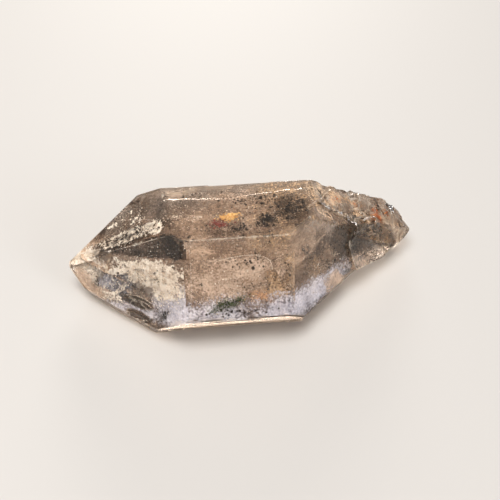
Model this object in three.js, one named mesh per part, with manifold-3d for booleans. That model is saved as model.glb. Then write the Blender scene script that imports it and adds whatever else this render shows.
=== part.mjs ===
// A clear quartz crystal that lies on one of its prism faces, in millimetres.
// +X runs along the crystal from its pointed end to its rough end, +Y away from the viewer, +Z up.
// Quartz always meets itself at the same angles, so each flat face is only a turn round the crystal's
// length, a lean towards one end, and a reach: how far the face stands from one point on the axis.
import * as THREE from "three";
import { mergeVertices } from "three/addons/utils/BufferGeometryUtils.js";
import Module from "manifold-3d";

const wasm = await Module();
wasm.setup();

// Driving dimensions
const TIP_LEAN = 38.2; // degrees that a tip face leans from the prism, the same on every quartz crystal
const PRISM_TURN = 60; // degrees from one prism face to the next
const PRISM_REACH = [7.7, 8.2, 10.7, 7.7, 10.2, 8.6]; // top face first, then towards the viewer and round
const POINT_REACH = [13.7, 13.2, 17.3, 19.0, 19.0, 16.5]; // the six faces of the pointed end
const ROUGH_REACH = [10.5, 8.8, 12.3, 20.3, 20.5, 19.4]; // the six faces of the rough end
const KNOB_REACH = [12.2, 10.0, 13.7, 20.6, 23.4, 19.9]; // the later growth that caps the rough end
const KNOB_INSET = 0.45; // how far that growth stays inside the prism faces
const KNOB_BACK = [ // the two slanting faces where that growth starts, on the side towards the point
  { turn: 180, lean: -72, reach: -13.4 },
  { turn: 8, lean: -52, reach: -11.3 },
];
const SHOULDER = { turn: 125.6, lean: 21.5, reach: 9.35 }; // the slanting face where it swells out in front
const KNOB_FROM = 12.6; // how far along the upper face the later growth starts
const KNOB_END = 24.2; // where that growth ends in a flat, and the blunt nose begins
const NOSE_REACH = [21.4, 19.7, 21.1, 25.2, 26.2, 24.6]; // the six faces that round off the nose
const NOSE_LEAN = 62; // degrees that they lean
const NOSE_END = 25.6; // the very end of the crystal
const NOSE_ROOT = 0.9; // how far the nose reaches back into the growth before it
const NOSE_PROUD = 0.12; // how far the nose stands out from the growth before it
const BREAK_FROM = [2, -5]; // where the broken face starts, along and across the upper face
const BREAK_SIZE = [17.5, 20]; // its length and width
const BREAK_GRID = 0.5; // side of the small squares that it is drawn with
const PATCH = 2.5; // about how wide one patch of the broken face is
const PATCH_HEIGHTS = { older: 0.42, later: 1.3 }; // mean heights over the older crystal's face
const LOWEST_BREAK = 0.05; // the broken face stays at least this far above the flat face under it
const GROWTH_HEIGHT = 0.8; // the growth on the upper face, before it broke
const ARROW_HEIGHT = 1.0; // the arrow-shaped terrace
const ARROW_TIP = [6.6, 6.0]; // where the arrow-shaped terrace points, along and across the upper face
const STEP_ROOT = 1.5; // how deep a step of growth reaches into the stone under it
const TIP_BREAK_PLACE = [-16.7, -2.6]; // where the break across the tip starts, along and across its face
const TIP_BREAK_TILT = 3; // degrees that the break leans into the stone
const WEAR = 0.055; // depth of the rubbed edges
const ROCK = 90; // side of the block that the faces are cut from
const COLOUR = 0xb8a795; // pale smoky beige
const ROUGHNESS = 0.18;

// Same numbers every time, between 0 and 1, for the places of small nicks
function scatter(seed) {
  let state = seed;
  return () => {
    state = (state * 16807) % 2147483647;
    return state / 2147483647;
  };
}

// A closed three.js geometry as a solid that can be cut and joined
function solidOf(geometry) {
  geometry.deleteAttribute("normal");
  geometry.deleteAttribute("uv");
  const merged = mergeVertices(geometry, 1e-4);
  return new wasm.Manifold(new wasm.Mesh({
    numProp: 3,
    vertProperties: new Float32Array(merged.attributes.position.array),
    triVerts: new Uint32Array(merged.index.array),
  }));
}

// The triangles of a solid as a three.js geometry
function geometryOf(solid) {
  const mesh = solid.getMesh();
  const corners = new Float32Array(mesh.triVerts.length * 3);
  mesh.triVerts.forEach((vertex, i) => {
    for (let axis = 0; axis < 3; axis++) {
      corners[i * 3 + axis] = mesh.vertProperties[vertex * mesh.numProp + axis];
    }
  });
  const geometry = new THREE.BufferGeometry();
  geometry.setAttribute("position", new THREE.BufferAttribute(corners, 3));
  geometry.computeVertexNormals();
  return geometry;
}

// The directions of a face: out of it, along the crystal in it, and across it
function makeFace(index, lean, reach) {
  const turn = THREE.MathUtils.degToRad(index * PRISM_TURN);
  const tilt = THREE.MathUtils.degToRad(lean);
  const out = new THREE.Vector3(
    Math.sin(tilt), -Math.sin(turn) * Math.cos(tilt), Math.cos(turn) * Math.cos(tilt));
  const across = new THREE.Vector3(0, Math.cos(turn), Math.sin(turn));
  const along = across.clone().cross(out);
  return { out, along, across, reach };
}

const prism = PRISM_REACH.map((reach, i) => makeFace(i, 0, reach));
const point = POINT_REACH.map((reach, i) => makeFace(i, -TIP_LEAN, reach));
const rough = ROUGH_REACH.map((reach, i) => makeFace(i, TIP_LEAN, reach));
const knob = KNOB_REACH.map((reach, i) => makeFace(i, TIP_LEAN, reach));

// The same face, moved in or out
function shifted(face, by) {
  return { ...face, reach: face.reach + by };
}

// Where a place given along and across a face is in space, a height above or below that face
function placeOn(face, along, across, height = 0) {
  return face.out.clone().multiplyScalar(face.reach + height)
    .addScaledVector(face.along, along)
    .addScaledVector(face.across, across);
}

// Turns and moves a geometry made in X, Y, Z to lie along, across and out of a face
function layOn(geometry, face, along, across, height = 0) {
  const matrix = new THREE.Matrix4().makeBasis(face.along, face.across, face.out);
  matrix.setPosition(placeOn(face, along, across, height));
  return geometry.applyMatrix4(matrix);
}

// Everything that lies beyond a face
function beyond(face) {
  const box = new THREE.BoxGeometry(ROCK * 2, ROCK * 2, ROCK);
  return solidOf(layOn(box, face, 0, 0, ROCK / 2));
}

// The block of stone that a set of faces leaves
function grownFrom(faces) {
  const rock = solidOf(new THREE.BoxGeometry(ROCK, ROCK, ROCK));
  return faces.reduce((stone, face) => stone.subtract(beyond(face)), rock);
}

// The rubbed flat along the edge where two faces meet
function rubbedEdge(a, b, depth) {
  const sum = a.out.clone().add(b.out);
  const reach = (a.reach + b.reach) / sum.length() - depth;
  const out = sum.normalize();
  const along = a.out.clone().cross(b.out).normalize();
  return { out, along, across: out.clone().cross(along), reach };
}

// The rubbed flats of a whole crystal, each a little deeper or shallower than the next
function rubbedEdges(sides, leftTip, rightTip) {
  const random = scatter(11);
  const flats = [];
  const rub = (a, b) => flats.push(rubbedEdge(a, b, WEAR * (0.6 + 0.9 * random())));
  sides.forEach((side, i) => {
    const next = (i + 1) % sides.length;
    rub(side, sides[next]);
    rub(side, leftTip[i]);
    rub(side, rightTip[i]);
    rub(leftTip[i], leftTip[next]);
    rub(rightTip[i], rightTip[next]);
  });
  return flats;
}

// A ball squashed to three half-widths, its middle at a place on a face
function lumpOn(face, along, across, height, size, detail = 3, spin = 0) {
  const ball = new THREE.IcosahedronGeometry(1, detail).scale(...size).rotateZ(spin);
  return solidOf(layOn(ball, face, along, across, height));
}

// A flat-topped step whose outline is drawn on a face, from one height to another
function stepOn(face, outline, low, high) {
  const shape = new THREE.Shape(outline.map(([along, across]) => new THREE.Vector2(along, across)));
  const slab = new THREE.ExtrudeGeometry(shape, { depth: high - low, bevelEnabled: false });
  return solidOf(layOn(slab, face, 0, 0, low));
}

// Where the edge of two faces passes a given X
function onEdge(a, b, x) {
  const direction = a.out.clone().cross(b.out).normalize();
  const square = 1 - a.out.dot(b.out) ** 2;
  const toA = (a.reach - b.reach * a.out.dot(b.out)) / square;
  const toB = (b.reach - a.reach * a.out.dot(b.out)) / square;
  const start = a.out.clone().multiplyScalar(toA).addScaledVector(b.out, toB);
  return start.addScaledVector(direction, (x - start.x) / direction.x);
}

// A small bite out of an edge
function nickAt(a, b, x, size) {
  const ball = new THREE.IcosahedronGeometry(size, 1).scale(1.6, 1, 1).rotateX(x).rotateY(x * 2);
  const lift = a.out.clone().add(b.out).normalize().multiplyScalar(size * 0.62);
  const at = onEdge(a, b, x).add(lift);
  return solidOf(ball.translate(at.x, at.y, at.z));
}

// The ideal crystal with its rubbed edges
function makeCrystal() {
  const faces = [...prism, ...point, ...rough];
  return grownFrom([...faces, ...rubbedEdges(prism, point, rough)]);
}

// The later growth round the rough end: the same faces further out. In front it broke away along a long
// slanting line, with small curls at the end of that line
function makeKnob() {
  const sides = prism.map((face) => shifted(face, -KNOB_INSET));
  const slants = [...KNOB_BACK, SHOULDER]
    .map(({ turn, lean, reach }) => makeFace(turn / PRISM_TURN, lean, reach));
  const grown = grownFrom([...sides, ...knob, ...slants, makeFace(0, 90, KNOB_END)]);
  return grown
    .subtract(lumpOn(rough[1], 13.2, -1.7, 7.4, [13, 5.6, 7.1], 12, -0.49))
    .subtract(lumpOn(rough[1], 15.8, -0.4, 2.3, [1.5, 1.1, 1.6], 4, -0.4))
    .subtract(lumpOn(rough[1], 18.8, -2.4, 2.2, [1.6, 0.9, 1.3], 4, -0.7));
}

// The blunt nose on the very end, a little thicker than the growth it sits on, so that a fine line parts
// them
function makeNose() {
  const inner = [...prism.map((face) => shifted(face, -KNOB_INSET)), ...knob];
  const rounding = NOSE_REACH.map((reach, i) => makeFace(i, NOSE_LEAN, reach));
  const ends = [makeFace(0, 90, NOSE_END), makeFace(0, -90, NOSE_ROOT - KNOB_END)];
  return grownFrom([...inner.map((face) => shifted(face, NOSE_PROUD)), ...rounding, ...ends]);
}

// The broken upper face of the rough end: patches of stone, each a small flat with a height and slope of
// its own, highest where the later growth covers the older crystal
function makePatches() {
  const random = scatter(31);
  const swing = (most) => most * (random() - 0.5);
  const [columns, rows] = BREAK_SIZE.map((size) => Math.floor(size / PATCH));
  const patches = [];
  for (let row = 0; row < rows; row++) {
    for (let column = 0; column < columns; column++) {
      const along = BREAK_FROM[0] + (column + 0.5 + swing(0.7)) * PATCH;
      const across = BREAK_FROM[1] + (row + 0.5 + swing(0.7)) * PATCH;
      const mean = along > KNOB_FROM ? PATCH_HEIGHTS.later : PATCH_HEIGHTS.older;
      patches.push({ along, across, height: mean + swing(0.7), rise: swing(0.36), lean: swing(0.36) });
    }
  }
  return patches;
}

// How high the broken face stands over the flat face under it, at one place
function brokenHeight(patches, along, across) {
  const gap = (patch) => Math.hypot(along - patch.along, across - patch.across);
  const patch = patches.reduce((best, next) => (gap(next) < gap(best) ? next : best));
  const height = patch.height + patch.rise * (along - patch.along) + patch.lean * (across - patch.across);
  return Math.max(height, LOWEST_BREAK);
}

// What has broken away over the rough end, as one block with the broken face underneath
function makeBrokenAway() {
  const patches = makePatches();
  const deep = 6;
  const [columns, rows] = BREAK_SIZE.map((size) => Math.round(size / BREAK_GRID));
  const [middleAlong, middleAcross] = BREAK_FROM.map((start, i) => start + BREAK_SIZE[i] / 2);
  const block = new THREE.BoxGeometry(...BREAK_SIZE, deep, columns, rows, 1);
  const place = block.attributes.position;
  for (let i = 0; i < place.count; i++) {
    const [along, across] = [place.getX(i) + middleAlong, place.getY(i) + middleAcross];
    place.setZ(i, place.getZ(i) < 0 ? brokenHeight(patches, along, across) : deep);
  }
  return solidOf(layOn(block, rough[0], middleAlong, middleAcross));
}

// A step of stone on the upper face of the rough end, kept inside the faces of the whole crystal
function terraceOf(outline, height) {
  const room = grownFrom([...prism.map((face) => shifted(face, -0.06)), ...knob]);
  return stepOn(rough[0], outline, -STEP_ROOT, height).intersect(room);
}

// The growth on the older upper face, before it broke
function makeGrowth() {
  const outline = [[3.4, 2.2], [8.2, 2.6], [13.5, 3.4], [16.5, 9], [15, 12], [6, 10.5], [2.6, 9]];
  return terraceOf(outline, GROWTH_HEIGHT);
}

// The one terrace that was left whole, shaped like the head of an arrow
function makeArrow() {
  const outline = [[-0.8, -1.6], [2.2, 1.0], [4.0, 2.8], ARROW_TIP, [3.6, 5.9], [2.8, 8.6], [-0.8, 8.6]];
  return terraceOf(outline, ARROW_HEIGHT);
}

// Shell-shaped hollows where the stone broke: each is the side of a wide shallow ball
function makeHollows() {
  const upper = rough[0];
  const onKnob = shifted(upper, 1.5);
  return [
    lumpOn(upper, 8.6, 4.0, 6.15, [5.2, 3.4, 6.0], 8, 0.7),
    lumpOn(upper, 13.2, 4.0, 2.4, [1.8, 1.4, 2.7], 5, 0.4),
    lumpOn(onKnob, 19.4, 5.4, 4.5, [5, 2.8, 4.75], 8, 0.6),
    lumpOn(prism[5], 8.5, 2.5, 4.6, [6.4, 3.8, 4.8], 8, 0.1),
    lumpOn(prism[4], -13.5, -3.4, 3.9, [5.2, 3.4, 4.1], 7, 0.5),
  ];
}

// The ribbed chip low on the pointed end: one shallow scoop at the blow, and ripples that run on from it
function makeRibbedChip() {
  const tip = point[1];
  const blow = lumpOn(tip, -13.1, -5.55, 0.5, [1.5, 0.8, 0.72], 5, -0.3);
  const ripples = [0, 1, 2, 3].map((i) =>
    lumpOn(tip, -11.3 + 0.25 * i, -5.2 - 0.3 * i, 0.3, [2.3 - 0.2 * i, 0.17, 0.36], 4, -0.22 + 0.03 * i));
  return [blow, ...ripples];
}

// The broken place on the lower edge of the pointed end, with the notch beside it
function makeEdgeBreaks() {
  const tip = point[1];
  return [
    lumpOn(tip, -11.9, -8.0, 0.35, [2.1, 0.8, 0.95], 4, -0.1),
    lumpOn(tip, -9.9, -8.75, 0.2, [0.75, 0.7, 1.1], 3, 0.4),
  ];
}

// Ledges left by growth on the prism faces: shallow steps that run along the crystal
function makeLedges() {
  const lower = prism[2];
  const back = prism[4];
  const upperBack = prism[5];
  return [
    stepOn(lower, [[-13, -5.2], [7, -5.2], [6.2, -0.2], [-2.1, 0.15], [-12, -0.35]], -0.2, 1),
    stepOn(lower, [[-11, -5.4], [5, -5.4], [4.2, -2.1], [-5.2, -2.4], [-10, -1.9]], -0.42, 1),
    stepOn(back, [[-14, -1.2], [-2.5, -0.4], [6.4, -1.6], [12, -1.2], [12, 7], [-14, 7]], -0.22, 1),
    stepOn(upperBack, [[-6.4, -5.6], [-4.6, 0.4], [2.2, 1.5], [3.1, -5.6]], -0.16, 1),
    stepOn(prism[0], [[-15, 3.9], [-9.2, 4.3], [-7.8, 5.2], [-2.2, 5.3], [-2.2, 7], [-15, 7]], -0.12, 1),
  ];
}

// The break across the very tip of the pointed end, a little under the face it cuts
function makeTipBreak() {
  const tip = point[1];
  const hinge = tip.across.clone().addScaledVector(tip.along, 0.42).normalize();
  const tilt = THREE.MathUtils.degToRad(-TIP_BREAK_TILT);
  const [out, along, across] = [tip.out, tip.along, tip.across]
    .map((direction) => direction.clone().applyAxisAngle(hinge, tilt));
  return { out, along, across, reach: out.dot(placeOn(tip, ...TIP_BREAK_PLACE)) };
}

// Nicks along the rubbed edges, small ones close together
function makeNicks() {
  const random = scatter(5);
  const runs = [
    [prism[0], prism[1], -9.5, 3.4, 9],
    [prism[1], prism[2], -10.5, 3.4, 8],
    [point[0], point[1], -22.5, -13, 5],
    [prism[2], prism[3], -11.5, 4, 5],
    [prism[0], prism[5], -11.4, 8, 8],
    [prism[4], prism[5], -12, 10, 8],
    [rough[1], rough[2], 7.5, 17, 6],
  ];
  return runs.flatMap(([a, b, from, to, count]) => Array.from({ length: count }, (_, i) => {
    const x = from + ((to - from) * (i + random())) / count;
    return nickAt(a, b, x, 0.14 + 0.2 * random() ** 2);
  }));
}

// The whole stone
function makeQuartz() {
  const cut = (stone, tool) => stone.subtract(tool);
  const join = (stone, lump) => stone.add(lump);
  let stone = makeCrystal();
  stone = [makeGrowth(), makeKnob()].reduce(join, stone).subtract(makeBrokenAway());
  stone = [makeArrow(), makeNose()].reduce(join, stone);
  stone = [...makeHollows(), ...makeLedges(), beyond(makeTipBreak())].reduce(cut, stone);
  stone = [...makeRibbedChip(), ...makeEdgeBreaks(), ...makeNicks()].reduce(cut, stone);
  return stone.subtract(beyond(prism[3]));
}

// Centres the stone over the place where it rests, with its lowest face at Z = 0
function stoodOnOrigin(geometry) {
  geometry.computeBoundingBox();
  const box = geometry.boundingBox;
  const middle = box.getCenter(new THREE.Vector3());
  return geometry.translate(-middle.x, -middle.y, -box.min.z);
}

const crystal = new THREE.Mesh(
  stoodOnOrigin(geometryOf(makeQuartz())),
  new THREE.MeshStandardMaterial({ color: COLOUR, roughness: ROUGHNESS, metalness: 0 }),
);
crystal.name = "quartz_crystal";

const part = new THREE.Group();
part.add(crystal);

export default part;
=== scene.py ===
# %% [markdown]
# A clear quartz crystal with a pointed end on the left and a rough, knobbly end on the right. It lies on one
# of its long flat faces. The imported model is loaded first, because its box and its faces say where
# everything else goes. Nothing here moves it or changes its size.

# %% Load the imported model
import math

import bmesh
import bpy
import numpy as np
from mathutils import Matrix, Vector
from mathutils.bvhtree import BVHTree


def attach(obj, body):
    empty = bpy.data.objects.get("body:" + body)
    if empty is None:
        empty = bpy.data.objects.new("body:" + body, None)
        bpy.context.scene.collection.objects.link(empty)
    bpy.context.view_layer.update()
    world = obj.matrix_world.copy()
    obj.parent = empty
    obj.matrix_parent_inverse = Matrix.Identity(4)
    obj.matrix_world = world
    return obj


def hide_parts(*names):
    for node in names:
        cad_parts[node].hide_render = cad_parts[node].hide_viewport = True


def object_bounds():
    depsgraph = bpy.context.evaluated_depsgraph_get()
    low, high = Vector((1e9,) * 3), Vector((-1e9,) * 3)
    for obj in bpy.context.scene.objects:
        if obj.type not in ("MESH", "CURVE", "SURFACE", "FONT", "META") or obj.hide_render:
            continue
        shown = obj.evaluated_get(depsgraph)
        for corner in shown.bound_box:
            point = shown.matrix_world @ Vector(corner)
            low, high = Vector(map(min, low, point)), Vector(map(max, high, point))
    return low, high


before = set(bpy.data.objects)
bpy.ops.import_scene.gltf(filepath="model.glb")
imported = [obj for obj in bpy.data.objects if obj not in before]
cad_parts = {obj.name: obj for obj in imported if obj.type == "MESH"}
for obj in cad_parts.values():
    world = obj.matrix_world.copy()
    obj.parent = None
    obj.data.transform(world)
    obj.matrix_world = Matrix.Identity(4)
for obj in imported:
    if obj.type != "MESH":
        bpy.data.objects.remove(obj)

cad_low, cad_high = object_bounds()
MM = 0.001
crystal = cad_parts["quartz_crystal"]
print("crystal, mm:", [round(side / MM, 2) for side in cad_high - cad_low])

# %% [markdown]
# Quartz always grows with the same angles: six long faces 60 degrees apart, and tip faces that lean 38.2
# degrees from them. So a face here is only a turn round the crystal and a lean. How far it stands from the
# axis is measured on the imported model, as the furthest that any of its points reaches in that direction.
# A place on the stone is then given as a person would point at it: which face, how far along it, how far
# across it, and how deep. Face 0 is on top, 1 and 2 are in front, 3 is underneath, and 4 and 5 are behind.

# %% The crystal's own directions
TIP_LEAN = 38.2
TURNS = range(0, 360, 60)
AXIS_AT = np.array([0.074, 0.045, (cad_high.z - cad_low.z) / MM / 2])  # a point on the axis, mm


def read(items, name, width=3, kind=np.float32):
    """One kind of value of all points, edges or faces of a mesh, as the rows of an array."""
    values = np.empty(len(items) * width, kind)
    items.foreach_get(name, values)
    return values.reshape(-1, width)


corners = read(crystal.data.vertices, "co") / MM - AXIS_AT


def make_face(turn, lean, less=0.0):
    """out = (sin lean, -sin turn cos lean, cos turn cos lean), across = (0, cos turn, sin turn), along =
    across x out, and reach = the furthest point of the stone in the direction out, less a little."""
    turn, lean = math.radians(turn), math.radians(lean)
    out = np.array([math.sin(lean), -math.sin(turn) * math.cos(lean), math.cos(turn) * math.cos(lean)])
    across = np.array([0.0, math.cos(turn), math.sin(turn)])
    return {"out": out, "across": across, "along": np.cross(across, out),
            "reach": float((corners @ out).max()) - less}


KNOB_COVER = [1.7, 1.2, 1.2, 1.2, 1.2, 1.2]  # how far the later growth stands over the rough end, mm
prism = [make_face(turn, 0) for turn in TURNS]
point = [make_face(turn, -TIP_LEAN) for turn in TURNS]
rough = [make_face(turn, TIP_LEAN, cover) for turn, cover in zip(TURNS, KNOB_COVER)]
knob = make_face(0, TIP_LEAN, 0.4)  # the top of the later growth itself
walls = prism + point + rough
wall_out = np.array([wall["out"] for wall in walls])
print("prism reach, mm:", [round(face["reach"], 2) for face in prism])
print("point reach, mm:", [round(face["reach"], 2) for face in point])
print("rough reach, mm:", [round(face["reach"], 2) for face in rough])

# %% [markdown]
# The camera looks down on the crystal from the front, as the photographer held it: nearly halfway between
# level and straight down. It comes early because the sunken specks are placed along its line of sight,
# bent as quartz bends light, so that each speck shows where it should.

# %% Camera
FRAME_PX = 500
LENS_PX = 1180  # how many pixels away the picture plane is
SENSOR = 36.0  # mm
camera_at = np.array([-25.74, -113.5, 129.1])
right = Vector((0.987, -0.146, 0.06)).normalized()
back = Vector((-0.143, -0.672, 0.727))
back = (back - right * back.dot(right)).normalized()
up = back.cross(right)
data = bpy.data.cameras.new("camera")
data.sensor_width = SENSOR
data.lens = SENSOR * LENS_PX / FRAME_PX
data.shift_x, data.shift_y = 0.02, 0.012
data.clip_start, data.clip_end = 0.01, 10.0
camera = bpy.data.objects.new("camera", data)
camera.matrix_world = Matrix.LocRotScale(
    Vector(camera_at * MM), Matrix((right, up, back)).transposed().to_quaternion(), None)
bpy.context.scene.collection.objects.link(camera)
bpy.context.scene.camera = camera
print("lens, mm:", round(data.lens, 1))

# %% [markdown]
# The floor is plain and pale. Three soft lamps stand round it, as in a small photo tent: a large one over
# the crystal, a weaker one in front on the right, and a small low one behind that draws bright lines along
# the upper edges. The air around them is dim, so that the crystal's flat faces show darker windows between
# the light ones, as clear stones do. A look with more contrast deepens the smoky tone and the painted shade.

# %% Floor, lamps and air
FLOOR_SIZE = 1.6  # metres
GAP = 0.00003  # the thin air between the floor and the stone, metres
LAMP_AIM = Vector((0, 0, 0.007))  # the middle of the stone, metres


def make_floor():
    """A square plate whose top is the level that the crystal lies on."""
    half = FLOOR_SIZE / 2
    mesh = bpy.data.meshes.new("floor")
    corners = [(-half, -half, -GAP), (half, -half, -GAP), (half, half, -GAP), (-half, half, -GAP)]
    mesh.from_pydata(corners, [], [(0, 1, 2, 3)])
    material = bpy.data.materials.new("floor")
    material.use_nodes = True
    shader = material.node_tree.nodes["Principled BSDF"]
    shader.inputs["Base Color"].default_value = (0.62, 0.60, 0.58, 1)
    shader.inputs["Roughness"].default_value = 0.55
    mesh.materials.append(material)
    floor = bpy.data.objects.new("floor", mesh)
    bpy.context.scene.collection.objects.link(floor)


def make_lamp(name, place, size, power, colour=(1, 1, 1)):
    """A square soft lamp at a place in metres, with its power in watts, turned towards the crystal."""
    data = bpy.data.lights.new(name, "AREA")
    data.shape, data.size = "SQUARE", size
    data.energy, data.color = power, colour
    lamp = bpy.data.objects.new(name, data)
    aim = LAMP_AIM - Vector(place)
    lamp.matrix_world = Matrix.LocRotScale(Vector(place), aim.to_track_quat("-Z", "Y"), None)
    bpy.context.scene.collection.objects.link(lamp)


make_floor()
make_lamp("lamp over", (-0.12, -0.06, 0.50), 0.30, 2.3, (1.0, 0.97, 0.93))
make_lamp("lamp in front", (0.40, -0.35, 0.30), 0.25, 0.7, (0.94, 0.97, 1.0))
make_lamp("lamp behind", (0.06, 0.42, 0.10), 0.16, 0.9, (1.0, 0.96, 0.9))
world = bpy.data.worlds.new("air")
bpy.context.scene.world = world
world.use_nodes = True
world.node_tree.nodes["Background"].inputs["Color"].default_value = (0.86, 0.85, 0.86, 1)
world.node_tree.nodes["Background"].inputs["Strength"].default_value = 0.24
bpy.context.scene.view_settings.view_transform = "Standard"
bpy.context.scene.view_settings.look = "Medium High Contrast"
print("floor and 3 lamps")

# %% [markdown]
# Small tools that the finishes share. One adds a shader node with its values, a few more stand for the
# nodes that come again and again, and the last links a finished mesh into the scene and lets it ride on the
# stone.

# %% Tools for nodes and pieces


def add_node(tree, kind, settings=None, **values):
    """A new node, with its settings, and a value or a link for each input that is named, or numbered as
    in i0."""
    node = tree.nodes.new(kind)
    for key, value in (settings or {}).items():
        setattr(node, key, value)
    for key, value in values.items():
        numbered = key[0] == "i" and key[1:].isdigit()
        socket = node.inputs[int(key[1:]) if numbered else key.replace("_", " ")]
        if isinstance(value, bpy.types.NodeSocket):
            tree.links.new(value, socket)
        else:
            socket.default_value = value
    return node


def maths(tree, operation, *values):
    """The outcome of one sum on values or sockets, kept between 0 and 1."""
    inputs = {f"i{number}": value for number, value in enumerate(values)}
    settings = {"operation": operation, "use_clamp": True}
    return add_node(tree, "ShaderNodeMath", settings, **inputs).outputs[0]


def blend_colours(tree, share, first, second):
    """The first colour where share is 0 and the second where it is 1."""
    node = add_node(tree, "ShaderNodeMix", {"data_type": "RGBA"}, i0=share, i6=first, i7=second)
    return node.outputs[2]


def between(tree, value, low, high):
    """0 below low, 1 above high, and even in between."""
    node = add_node(tree, "ShaderNodeMapRange", {"clamp": True}, Value=value, From_Min=low, From_Max=high)
    return node.outputs["Result"]


def noise(tree, place, scale, detail=2.0, roughness=0.5):
    """Patches of noise, a number of them to the metre, between 0 and 1."""
    return add_node(tree, "ShaderNodeTexNoise", Vector=place, Scale=scale, Detail=detail,
                    Roughness=roughness).outputs["Fac"]


def make_material(name):
    """An empty material, with its tree, its shader and its output."""
    material = bpy.data.materials.new(name)
    material.use_nodes = True
    tree = material.node_tree
    return material, tree, tree.nodes["Principled BSDF"], tree.nodes["Material Output"]


def finish_piece(name, mesh, finish, *materials):
    """Links a mesh as a piece that rides on the stone. Its finish argument is not used."""
    for material in materials:
        mesh.materials.append(material)
    piece = bpy.data.objects.new(name, mesh)
    bpy.context.scene.collection.objects.link(piece)
    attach(piece, "root")
    print(name, "with", len(mesh.polygons), "faces")
    return piece


# %% [markdown]
# The stone's surface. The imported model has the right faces, ledges and chips, but only as many triangles as
# it needs. Cutting it along planes a fraction of a millimetre apart gives every face points that can move,
# and leaves the sharp edges exactly where they are, which remeshing would not.

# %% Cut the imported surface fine
CUT = 0.42  # distance between the cutting planes, mm
SAME = 1e-7  # points nearer to each other than this, in metres, are one


def cut_fine(mesh, step):
    """The mesh with every face cut along planes a step apart in X, Y and Z, the first 0.4 of a step in."""
    work = bmesh.new()
    work.from_mesh(mesh)
    bmesh.ops.remove_doubles(work, verts=work.verts, dist=SAME)
    for axis in range(3):
        low, high = cad_low[axis], cad_high[axis]
        direction = Vector([float(axis == i) for i in range(3)])
        for place in np.arange(low + step * 0.4, high, step):
            geometry = work.verts[:] + work.edges[:] + work.faces[:]
            bmesh.ops.bisect_plane(work, geom=geometry, dist=SAME, plane_co=direction * float(place),
                                   plane_no=direction)
    bmesh.ops.triangulate(work, faces=work.faces)
    fine = bpy.data.meshes.new("quartz_surface")
    work.to_mesh(fine)
    work.free()
    return fine


surface = cut_fine(crystal.data, CUT * MM)
count = len(surface.vertices)
print("surface:", count, "points,", len(surface.polygons), "triangles")

# %% [markdown]
# Where each finish lies on the stone is a soft spot: full in the middle and fading to nothing at its rim,
# in the stone's own millimetres. Spots are kept on the surface as named attributes, which the material reads.

# %% Soft spots on the surface
places = read(surface.vertices, "co") / MM - AXIS_AT
outward = read(surface.vertices, "normal")
SPOT_DEPTH = 1.5  # a spot fades out this far above and below its face, mm


def oval(a, b, along, across, long, wide, turn=0.0, fade=0.4):
    """1 inside an oval, 0 outside it, smooth over its rim: the oval's own radius is
    sqrt((a / long)^2 + (b / wide)^2), with a and b counted from its middle and turned with it."""
    a, b = a - along, b - across
    c, s = math.cos(math.radians(turn)), math.sin(math.radians(turn))
    radius = np.hypot((a * c + b * s) / long, (b * c - a * s) / wide)
    return np.clip((1 + fade - radius) / (2 * fade), 0, 1)


def spot(face, along, across, long, wide, turn=0.0, fade=0.35):
    """An oval on a face, for every point of the surface: it counts where the point is near that face."""
    near = np.clip(1 - np.abs(places @ face["out"] - face["reach"]) / SPOT_DEPTH, 0, 1)
    a, b = places @ face["along"], places @ face["across"]
    return oval(a, b, along, across, long, wide, turn, fade) * near


def smooth_noise(points, size, seed):
    """Soft bumps about `size` wide, from -1 to 1: the mean of eight plane waves in scattered directions."""
    random = np.random.default_rng(seed)
    ways = random.normal(size=(8, 3))
    ways *= 2 * math.pi / size / np.linalg.norm(ways, axis=1, keepdims=True)
    return np.sin(points @ ways.T + random.uniform(0, 2 * math.pi, 8)).mean(axis=1) * 1.6


ROUGH_START, ROUGH_FADE = 8.5, 3.0  # where along the crystal the rough end begins, and how softly, mm
KNOB_START, KNOB_FADE = 9.0, 1.2  # the same along the lean of its top face
rough_end = np.clip((places[:, 0] - ROUGH_START) / ROUGH_FADE, 0, 1)
rough_end *= np.clip((places @ rough[0]["out"] - KNOB_START) / KNOB_FADE, 0, 1)
print("points on the rough end:", int((rough_end > 0.5).sum()))

# %% [markdown]
# A real growth face is never quite flat, and the later growth on the rough end broke into small facets. So
# the points now move in a little: long shallow waves everywhere, and facets on the rough end. They only
# move inwards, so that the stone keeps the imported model's size. Textures that are finer still are bumps in
# the finish.

# %% Waves and broken facets
WAVES = [(0.012, 6.0, 1), (0.006, 1.7, 2)]  # height, width, seed, in mm
FACET_PITCH, FACET_SLOPE, FACET_HEIGHT, FACET_SUNK = 1.7, 0.30, 0.35, 0.10
SHARP_ANGLE = 11  # the surface has an edge where it turns by more than this, in degrees


def facets(points, pitch, seed):
    """Small flats that meet at ridges: each point takes the height and slope of the nearest seed. 4,000
    points are worked out at a time, to save memory."""
    random = np.random.default_rng(seed)
    low, high = points.min(axis=0), points.max(axis=0)
    seeds = random.uniform(low, high, (int(np.prod(high - low) / pitch ** 3), 3))
    slopes = random.normal(0, FACET_SLOPE, (len(seeds), 3))
    heights = np.empty(len(points))
    for start in range(0, len(points), 4000):
        some = points[start:start + 4000]
        nearest = ((some[:, None] - seeds[None]) ** 2).sum(axis=2).argmin(axis=1)
        heights[start:start + 4000] = ((some - seeds[nearest]) * slopes[nearest]).sum(axis=1)
    return heights


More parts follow.
